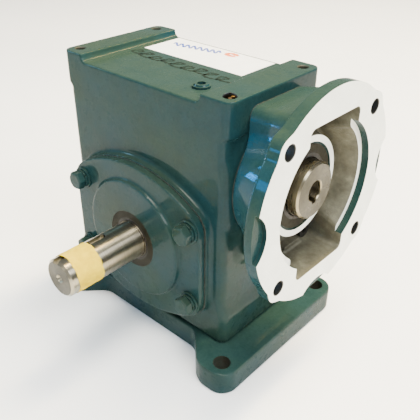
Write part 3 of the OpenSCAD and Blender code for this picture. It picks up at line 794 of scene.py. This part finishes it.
def make_adaptor():
    obj = cast("motor_bell", adaptor_field, bell_low - 1, bell_high + (4, 1, 1), 1.1, PAINT_MAT, 0.5)
    finish_casting(obj, adaptor_tools(), "motor_adaptor")


# ---- tail end cover ----
def end_field(x, y, z):
    """Round plate with a low crown and a spigot."""
    v = z - worm_z
    plate = extrude(disc(y, v, 43.5), x, -pad_x - 7, -pad_x - 0.5, 1.3)
    crown = extrude(disc(y, v, 24), x, -pad_x - 10, -pad_x - 3, 1.2)
    spigot = extrude(disc(y, v, 30.95), x, -pad_x - 3, -pad_x + 2.8, 0.4)
    return np.minimum(join(plate, crown, 2), spigot)


def make_end_cover():
    obj = cast("tail_cover", end_field, tail_low - 1, tail_high + 1, 1.0, PAINT_MAT)
    tools = [rod("relief", 26, -pad_x - 0.5, -pad_x + 8, WORM, FACE_MAT)]
    for off in quarter_points(tail_bolt_r):
        tools.append(rod("bolt_hole", 3.3, -pad_x - 12, -pad_x + 4, WORM, DARK_MAT, 48, off))
    finish_casting(obj, tools, "end_cover")


# ---- cover bolts and their washers ----
washer_t = 1.8
lock_ring_t = 2.35
blind_washer_t = washer_t + lock_ring_t


def bolt_field(u, v, w):
    """Chamfered hexagon head standing on w = 0, with its shank below."""
    half_flats, head_h = 7.1, 6.35
    flats = [np.abs(u * math.cos(t) + v * math.sin(t)) for t in (0, math.pi / 3, 2 * math.pi / 3)]
    head = extrude(np.maximum(np.maximum(flats[0], flats[1]), flats[2]) - half_flats, w, 0, head_h, 0.45)
    crown = (hypot(u, v) - 6.6) * 0.5 + (w - head_h) * 0.866
    shank = extrude(disc(u, v, 4.6), w, -20, 1, 0.4)
    return np.minimum(meet(head, crown, 0.5), shank)


def split_ring_field(u, v, w):
    """Lock washer: a flat ring with one slanted cut, its ends slightly apart."""
    turn = np.arctan2(v, u) / math.pi
    ring = extrude(np.maximum(disc(u, v, 7.9), -disc(u, v, 4.9)), w - 0.16 * turn, 0.15, 2.05, 0.35)
    gap = np.maximum(np.abs(v + 0.8 * (w - 1.2)) - 0.5, -u)
    return np.maximum(ring, -gap)


def washer(thick):
    profile = [(4.9, 0.05), (9.3, 0.05), (9.55, 0.3), (9.55, thick - 0.35), (9.2, thick), (5.2, thick),
               (4.9, thick - 0.3)]
    return lathe("part", profile, UP, PAINT_MAT, 64)


def taken(obj):
    """Vertices and faces of an object, in millimetres. The object is removed."""
    verts = [tuple(v.co / MM) for v in obj.data.vertices]
    faces = [list(f.vertices) for f in obj.data.polygons]
    bpy.data.objects.remove(obj)
    return verts, faces


def copies(name, mesh_data, spots, axis):
    """One painted object holding a turned copy of the mesh at each (u, v, w, angle)."""
    verts, faces = mesh_data
    every_vert = []
    every_face = []
    for u, v, w, angle in spots:
        turn = Matrix.Rotation(angle, 3, "Z")
        start = len(every_vert)
        every_vert += placed([turn @ Vector(p) + Vector((u, v, w)) for p in verts], axis)
        every_face += [[i + start for i in face] for face in faces]
    obj = add_object(name, every_vert, every_face, [PAINT_MAT])
    smooth(obj, 38)
    return obj


def make_cover_bolts():
    bolt = taken(cast("part", bolt_field, (-8.6, -8.6, -20), (8.6, 8.6, 6.5), 0.36, PAINT_MAT, 0.3))
    ring = taken(cast("part", split_ring_field, (-8.2, -8.2, -0.2), (8.2, 8.2, 2.5), 0.3, PAINT_MAT))
    flat_washer = taken(washer(washer_t))
    blind_washer = taken(washer(blind_washer_t))
    head_w = cover_out + blind_washer_t
    turns = [math.radians(t) for t in (14, 38, 7, 52)]
    for name, node, axis, mesh_data, w in (
        ("output_bolts", "front_cover_bolts", OUTPUT, bolt, head_w),
        ("output_lock_washers", "front_lock_washers", OUTPUT, ring, cover_out + washer_t),
        ("output_washers", "front_washers", OUTPUT, flat_washer, cover_out),
        ("blind_bolts", "rear_cover_bolts", BLIND, bolt, head_w),
        ("blind_washers", "rear_washers", BLIND, blind_washer, cover_out),
    ):
        spots = [(a * cover_bolt[0], b * cover_bolt[1], w, turn)
                 for (a, b), turn in zip(CORNERS, turns, strict=True)]
        stand_for(copies(name, mesh_data, spots, axis), node)


# ---- marks on the top: printed stripe and spot, and a scribbled marker line ----
def ribbon(name, line, width, z, material):
    """A thin printed stroke along a line of (x, y) points, its width a little uneven."""
    left = []
    right = []
    for i, (x, y) in enumerate(line):
        x0, y0 = line[max(i - 1, 0)]
        x1, y1 = line[min(i + 1, len(line) - 1)]
        length = max(math.hypot(x1 - x0, y1 - y0), 1e-6)
        nx, ny = (y0 - y1) / length, (x1 - x0) / length
        half = width / 2 * (0.75 + 0.35 * math.sin(1.7 * i))
        left.append((x + nx * half, y + ny * half))
        right.append((x - nx * half, y - ny * half))
    outline = left + right[::-1]
    n = len(outline)
    points = [(x, y, h) for h in (z, z + 0.06) for x, y in outline]
    faces = []
    for i in range(len(line) - 1):
        j = n - 1 - i
        faces.append((i, i + 1, j - 1, j))
        faces.append((n + j, n + j - 1, n + i + 1, n + i))
    faces += [((i + 1) % n, i, n + i, n + (i + 1) % n) for i in range(n)]
    return add_object(name, points, faces, [material])


def make_marks():
    label_top = label_high[2]
    wave = []
    for k in range(860):
        turn = 0.055 * k
        wave.append((-49 + turn - 2.4 * math.sin(turn), 34 + 0.009 * k + 3.4 * math.sin(turn)))
    spot = [(9 + 4.6 * math.cos(t / 30), 43.4 + 3.1 * math.sin(t / 30)) for t in range(180)]
    scribble = []
    for k in range(420):
        turn = 0.135 * k
        x = -60 + 0.262 * k + 6.5 * math.sin(turn + 1.2) + 1.2 * math.sin(0.4 * k)
        y = -3.5 + 4.6 * math.sin(turn) + 1.4 * math.sin(0.047 * k) - 0.0065 * k
        scribble.append((x, y))
    marks = (
        ribbon("printed_wave", wave, 2.1, label_top, INK_BLUE),
        ribbon("printed_spot", spot, 4.6, label_top, INK_ORANGE),
        ribbon("marker_line", scribble, 2.3, deck_z + 0.06, MARKER_MAT),
    )
    for mark in marks:
        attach(mark, "casing")


# ---- masking tape round the output shaft ----
def make_tape():
    """A tube of tape with uneven edges, a wavy surface and a thicker stretch where it overlaps."""
    rings = 24
    steps = 120
    w0 = shaft_end - 30
    w1 = shaft_end - 7
    start = math.radians(118)
    points = []
    for outside in (False, True):
        for j in range(rings + 1):
            w = w0 + (w1 - w0) * j / rings
            for k in range(steps):
                t = 2 * math.pi * k / steps + start
                wave = 0.07 * math.sin(5 * t + 0.5 * w) + 0.05 * math.sin(11 * t - 0.9 * w)
                lap = 0.18 * (k < steps * 0.3)
                edge = 0.35 * math.sin(3 * t) + 0.2 * math.sin(8 * t)
                r = shaft_r + 0.34 + lap + wave if outside else shaft_r + 0.03
                shift = edge if j in (0, rings) else 0
                points.append((r * math.cos(t), r * math.sin(t), w + shift))
    outer = (rings + 1) * steps
    top = rings * steps
    faces = []
    for j in range(rings):
        for k in range(steps):
            a, b = j * steps + k, j * steps + (k + 1) % steps
            c, d = b + steps, a + steps
            faces.append((a, d, c, b))
            faces.append((outer + a, outer + b, outer + c, outer + d))
    for k in range(steps):
        j = (k + 1) % steps
        faces.append((k, j, outer + j, outer + k))
        faces.append((top + j, top + k, outer + top + k, outer + top + j))
    obj = add_object("masking_tape", placed(points, OUTPUT), faces, [TAPE_MAT])
    smooth(obj, 40)
    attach(obj, "output_set")


# ---- finishes of the CAD nodes that stay in view ----
FINISH = {
    "paint": PAINT_MAT,
    "machined": FACE_MAT,
    "steel": BRIGHT_MAT,
    "dark_steel": DARK_MAT,
    "iron": HUB_MAT,
    "bronze": BRONZE_MAT,
    "rubber": RUBBER_MAT,
    "gasket": GASKET_MAT,
    "label": LABEL_MAT,
}
OWN_FINISH = {
    "output_shaft": TURNED_MAT,
    "worm_shaft": QUILL_MAT,
    "output_seal_case": SEAL_MAT,
    "input_seal_case": SEAL_MAT,
    "vent_screw": BRASS_MAT,
}


def dress_nodes():
    """Gives each CAD node its own finish, or else the one for its slot."""
    for name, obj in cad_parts.items():
        for slot in obj.material_slots:
            key = slot.material.name.split(".")[0] if slot.material else ""
            slot.material = OWN_FINISH.get(name) or FINISH.get(key, BRIGHT_MAT)


# ---- floor, light and camera ----
def make_stage():
    half = 4000
    drop = 0.15  # just under the foot, so that the two don't share a plane
    corner_points = [(-half, -half, -drop), (half, -half, -drop), (half, half, -drop), (-half, half, -drop)]
    floor = add_object("floor", corner_points, [(0, 1, 2, 3)])
    n = Nodes("floor_paint", (0.93, 0.93, 0.94), 0.6)
    tone = n.bands(n.noise(3, 3), [(0.3, (0.9, 0.9, 0.91)), (0.7, (0.95, 0.95, 0.955))])
    floor.data.materials.append(n.finish(tone))


def area_light(name, at, aim, size, power, color):
    """A rectangular lamp, placed in metres, that the camera doesn't see."""
    data = bpy.data.lights.new(name, "AREA")
    data.shape = "RECTANGLE"
    data.size, data.size_y = size
    data.energy = power
    data.color = color
    obj = bpy.data.objects.new(name, data)
    obj.location = at
    obj.rotation_mode = "QUATERNION"
    obj.rotation_quaternion = (Vector(aim) - Vector(at)).to_track_quat("-Z", "Y")
    obj.visible_camera = False
    bpy.context.scene.collection.objects.link(obj)
    return obj


def make_room_light():
    world = bpy.data.worlds.new("studio")
    world.use_nodes = True
    sky = world.node_tree.nodes["Background"]
    sky.inputs["Color"].default_value = (0.86, 0.93, 1.0, 1)
    sky.inputs["Strength"].default_value = 0.6
    bpy.context.scene.world = world
    middle = (0, 0, 0.12)
    ceiling = area_light("ceiling_back", (0.2, 0.9, 1.9), middle, (0.5, 1.5), 130, (1.0, 0.94, 0.76))
    ceiling.visible_glossy = False
    area_light("ceiling_front", (0.35, -0.3, 2.1), middle, (1.0, 0.7), 70, (1.0, 0.95, 0.8))
    area_light("front_fill", (0.5, -1.2, 2.0), middle, (0.9, 0.7), 16, (0.86, 0.94, 1.0))
    area_light("side_fill", (1.5, -0.1, 1.5), middle, (1.0, 0.8), 51, (0.96, 0.98, 1.0))
    area_light("tube", (0.17, 1.0, 1.85), (0, -0.1, 0.1), (0.1, 1.2), 62, (1.0, 0.68, 0.2))
    area_light("pane_far", (-1.5, -0.9, 0.9), middle, (0.3, 0.22), 13, (0.35, 0.7, 1.0))


def make_bell_light():
    """Window panes that show only as gloss on the motor bell, and the daylight that comes with them."""
    bell = (0.107, -0.04, 0.21)
    pane_x = -0.6
    blue = (0.0, 0.34, 1.0)
    white = (0.8, 0.95, 1.0)
    lights = []
    for y, z, size, power, color in (
        (-0.408, 0.0, (0.07, 0.207), 4.4, blue),
        (-0.36, 0.12, (0.048, 0.083), 1.3, blue),
        (-0.256, 0.19, (0.05, 0.08), 1.5, blue),
        (-0.218, 0.322, (0.035, 0.025), 0.15, blue),
        (-0.298, 0.25, (0.025, 0.03), 0.6, white),
        (-1.2, 0.58, (0.12, 0.2), 3, blue),
    ):
        pane = area_light("window_pane", (pane_x, y, z), bell, size, power, color)
        pane.visible_diffuse = False
        lights.append(pane)
    daylight = area_light("daylight", (pane_x, -0.45, 0.3), bell, (0.4, 0.4), 9, (0.5, 0.85, 1.0))
    daylight.visible_glossy = False
    lit = bpy.data.collections.new("bell_only")
    lit.objects.link(bpy.data.objects["motor_bell"])
    for light in (*lights, daylight):
        light.light_linking.receiver_collection = lit
        light.light_linking.blocker_collection = lit


def make_camera():
    """The camera's place, in millimetres, and its directions in the model's frame."""
    at = Vector((314.18, -323.42, 371.91)) * MM
    right = Vector((0.74240, 0.66990, 0.00863)).normalized()
    back = Vector((0.56686, -0.63497, 0.52486)).normalized()
    up = back.cross(right)
    data = bpy.data.cameras.new("camera")
    data.sensor_width = 36
    data.lens = 49.71
    data.clip_start, data.clip_end = 0.05, 20
    obj = bpy.data.objects.new("camera", data)
    obj.matrix_world = Matrix.Translation(at) @ Matrix((right, up, back)).transposed().to_4x4()
    bpy.context.scene.collection.objects.link(obj)
    bpy.context.scene.camera = obj


dress_nodes()
make_housing()
make_foot()
make_covers()
make_adaptor()
make_end_cover()
make_cover_bolts()
make_marks()
make_tape()
make_stage()
make_room_light()
make_bell_light()
make_camera()
